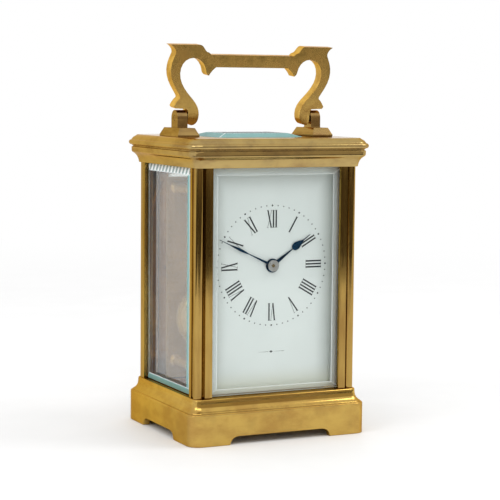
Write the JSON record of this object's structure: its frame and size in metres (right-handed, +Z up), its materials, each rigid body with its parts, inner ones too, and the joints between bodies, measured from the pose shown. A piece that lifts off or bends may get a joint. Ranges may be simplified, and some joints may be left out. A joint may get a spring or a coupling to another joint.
{
  "type": "carriage clock",
  "caption": "Glazed brass carriage clock with a scrolled swing handle, hinged rear door and enamel dial, round a spring-driven geared movement with a platform escapement.",
  "frame": {"origin": "middle of the base's footprint, on the plane the feet stand on", "axes": "+X to the viewer's right when facing the dial, +Y from the dial to the rear door, +Z up"},
  "size_m": [0.0818, 0.0718, 0.1615],
  "materials": {
    "back_plate": "aged polished brass",
    "balance_cock": "aged polished brass",
    "balance_wheel": "aged polished brass",
    "barrel": "aged polished brass",
    "barrel_cover": "aged polished brass",
    "base_plinth": "aged polished brass",
    "cannon_pinion": "polished steel",
    "case_screw_1": "polished steel",
    "case_screw_2": "polished steel",
    "case_screw_3": "polished steel",
    "case_screw_4": "polished steel",
    "centre_wheel": "aged polished brass",
    "click": "polished steel",
    "click_spring": "polished steel",
    "contrate_wheel": "aged polished brass",
    "cornice": "aged polished brass",
    "dial_plate": "smooth white vitreous enamel",
    "escape_wheel": "polished steel",
    "front_glass": "clear polished plate glass, bevelled edge",
    "front_plate": "aged polished brass",
    "hairspring": "polished blued steel",
    "hand_nut": "polished steel",
    "handle": "aged polished brass",
    "handle_lug_left": "aged polished brass",
    "handle_lug_right": "aged polished brass",
    "handle_pivot_left": "polished steel",
    "handle_pivot_right": "polished steel",
    "hour_hand": "polished blued steel",
    "hour_wheel": "aged polished brass",
    "left_glass": "clear polished plate glass, bevelled edge",
    "lever": "polished steel",
    "mainspring": "polished steel",
    "minute_hand": "polished blued steel",
    "minute_wheel": "aged polished brass",
    "movement_pillar_lower_left": "aged polished brass",
    "movement_pillar_lower_right": "aged polished brass",
    "movement_pillar_upper_left": "aged polished brass",
    "movement_pillar_upper_right": "aged polished brass",
    "movement_screw_left": "polished steel",
    "movement_screw_right": "polished steel",
    "pillar_front_left": "aged polished brass",
    "pillar_front_right": "aged polished brass",
    "pillar_rear_left": "aged polished brass",
    "pillar_rear_right": "aged polished brass",
    "platform": "aged polished brass",
    "ratchet_wheel": "polished steel",
    "rear_door_frame": "aged polished brass",
    "rear_door_glass": "clear polished plate glass, bevelled edge",
    "rear_door_knob": "aged polished brass",
    "right_glass": "clear polished plate glass, bevelled edge",
    "second_wheel": "aged polished brass",
    "third_wheel": "aged polished brass",
    "top_glass": "clear polished plate glass, bevelled edge",
    "train_bridge": "aged polished brass",
    "winding_arbor": "polished steel"
  },
  "bodies": {
    "case": {"back_plate": "back_plate", "balance_cock": "balance_cock", "base_plinth": "base_plinth", "case_screw_1": "case_screw_1", "case_screw_2": "case_screw_2", "case_screw_3": "case_screw_3", "case_screw_4": "case_screw_4", "click_spring": "click_spring", "cornice": "cornice", "dial_plate": "dial_plate", "front_glass": "front_glass", "front_plate": "front_plate", "handle_lug_left": "handle_lug_left", "handle_lug_right": "handle_lug_right", "handle_pivot_left": "handle_pivot_left", "handle_pivot_right": "handle_pivot_right", "left_glass": "left_glass", "movement_pillar_lower_left": "movement_pillar_lower_left", "movement_pillar_lower_right": "movement_pillar_lower_right", "movement_pillar_upper_left": "movement_pillar_upper_left", "movement_pillar_upper_right": "movement_pillar_upper_right", "movement_screw_left": "movement_screw_left", "movement_screw_right": "movement_screw_right", "pillar_front_left": "pillar_front_left", "pillar_front_right": "pillar_front_right", "pillar_rear_left": "pillar_rear_left", "pillar_rear_right": "pillar_rear_right", "platform": "platform", "right_glass": "right_glass", "top_glass": "top_glass", "train_bridge": "train_bridge"},
    "handle": {"handle": "handle"},
    "rear_door": {"rear_door_frame": "rear_door_frame", "rear_door_glass": "rear_door_glass", "rear_door_knob": "rear_door_knob"},
    "winding": {"winding_arbor": "winding_arbor", "ratchet_wheel": "ratchet_wheel"},
    "click": {"click": "click"},
    "barrel": {"barrel": "barrel", "barrel_cover": "barrel_cover", "mainspring": "mainspring"},
    "second_wheel": {"second_wheel": "second_wheel"},
    "centre": {"centre_wheel": "centre_wheel", "cannon_pinion": "cannon_pinion", "minute_hand": "minute_hand", "hand_nut": "hand_nut"},
    "third_wheel": {"third_wheel": "third_wheel"},
    "contrate_wheel": {"contrate_wheel": "contrate_wheel"},
    "escape_wheel": {"escape_wheel": "escape_wheel"},
    "lever": {"lever": "lever"},
    "balance": {"balance_wheel": "balance_wheel", "hairspring": "hairspring"},
    "minute_wheel": {"minute_wheel": "minute_wheel"},
    "hour": {"hour_wheel": "hour_wheel", "hour_hand": "hour_hand"}
  },
  "joints": [
    {"name": "handle_swing", "type": "hinge", "parent": "case", "child": "handle", "pos_m": [0, 0, 0.131], "axis": [1, 0, 0], "range_deg": [-96.5, 83.5]},
    {"name": "rear_door_hinge", "type": "hinge", "parent": "case", "child": "rear_door", "pos_m": [0.02705, 0.02875, 0.065], "axis": [0, 0, -1], "range_deg": [0, 95]},
    {"name": "winding_turn", "type": "hinge", "parent": "case", "child": "winding", "pos_m": [-0.013, 0, 0.0455], "axis": [0, 1, 0], "continuous": true},
    {"name": "click_lift", "type": "hinge", "parent": "case", "child": "click", "pos_m": [-0.0036, 0, 0.0475], "axis": [0, 1, 0], "range_deg": [0, 12]},
    {"name": "centre_turn", "type": "hinge", "parent": "case", "child": "centre", "pos_m": [0, 0, 0.0711], "axis": [0, 1, 0], "continuous": true},
    {"name": "second_turn", "type": "hinge", "parent": "case", "child": "second_wheel", "pos_m": [-0.00327, 0, 0.05708], "axis": [0, 1, 0], "continuous": true},
    {"name": "barrel_turn", "type": "hinge", "parent": "case", "child": "barrel", "pos_m": [-0.013, 0, 0.0455], "axis": [0, 1, 0], "continuous": true},
    {"name": "third_turn", "type": "hinge", "parent": "case", "child": "third_wheel", "pos_m": [-0.01056, 0, 0.08071], "axis": [0, 1, 0], "continuous": true},
    {"name": "contrate_turn", "type": "hinge", "parent": "case", "child": "contrate_wheel", "pos_m": [0, 0, 0.0894], "axis": [0, 1, 0], "continuous": true},
    {"name": "escape_turn", "type": "hinge", "parent": "case", "child": "escape_wheel", "pos_m": [0, -0.00673, 0.11], "axis": [0, 0, 1], "continuous": true},
    {"name": "minute_wheel_turn", "type": "hinge", "parent": "case", "child": "minute_wheel", "pos_m": [0, 0, 0.0603], "axis": [0, 1, 0], "continuous": true},
    {"name": "hour_turn", "type": "hinge", "parent": "case", "child": "hour", "pos_m": [0, 0, 0.0711], "axis": [0, 1, 0], "continuous": true},
    {"name": "lever_rock", "type": "hinge", "parent": "case", "child": "lever", "pos_m": [0, -0.00222, 0.11], "axis": [0, 0, 1], "range_deg": [-5, 5]},
    {"name": "balance_swing", "type": "hinge", "parent": "case", "child": "balance", "pos_m": [0, 0.0086, 0.112], "axis": [0, 0, 1], "range_deg": [-220, 220], "stiffness_Nm_per_rad": 0.000003}
  ],
  "couplings": [
    {"joint": "second_turn", "follows": "centre_turn", "ratio": -0.2},
    {"joint": "barrel_turn", "follows": "centre_turn", "ratio": 0.033333},
    {"joint": "third_turn", "follows": "centre_turn", "ratio": -7.5},
    {"joint": "contrate_turn", "follows": "centre_turn", "ratio": 60},
    {"joint": "escape_turn", "follows": "centre_turn", "ratio": 480},
    {"joint": "minute_wheel_turn", "follows": "centre_turn", "ratio": -0.33333},
    {"joint": "hour_turn", "follows": "centre_turn", "ratio": 0.083333}
  ]
}
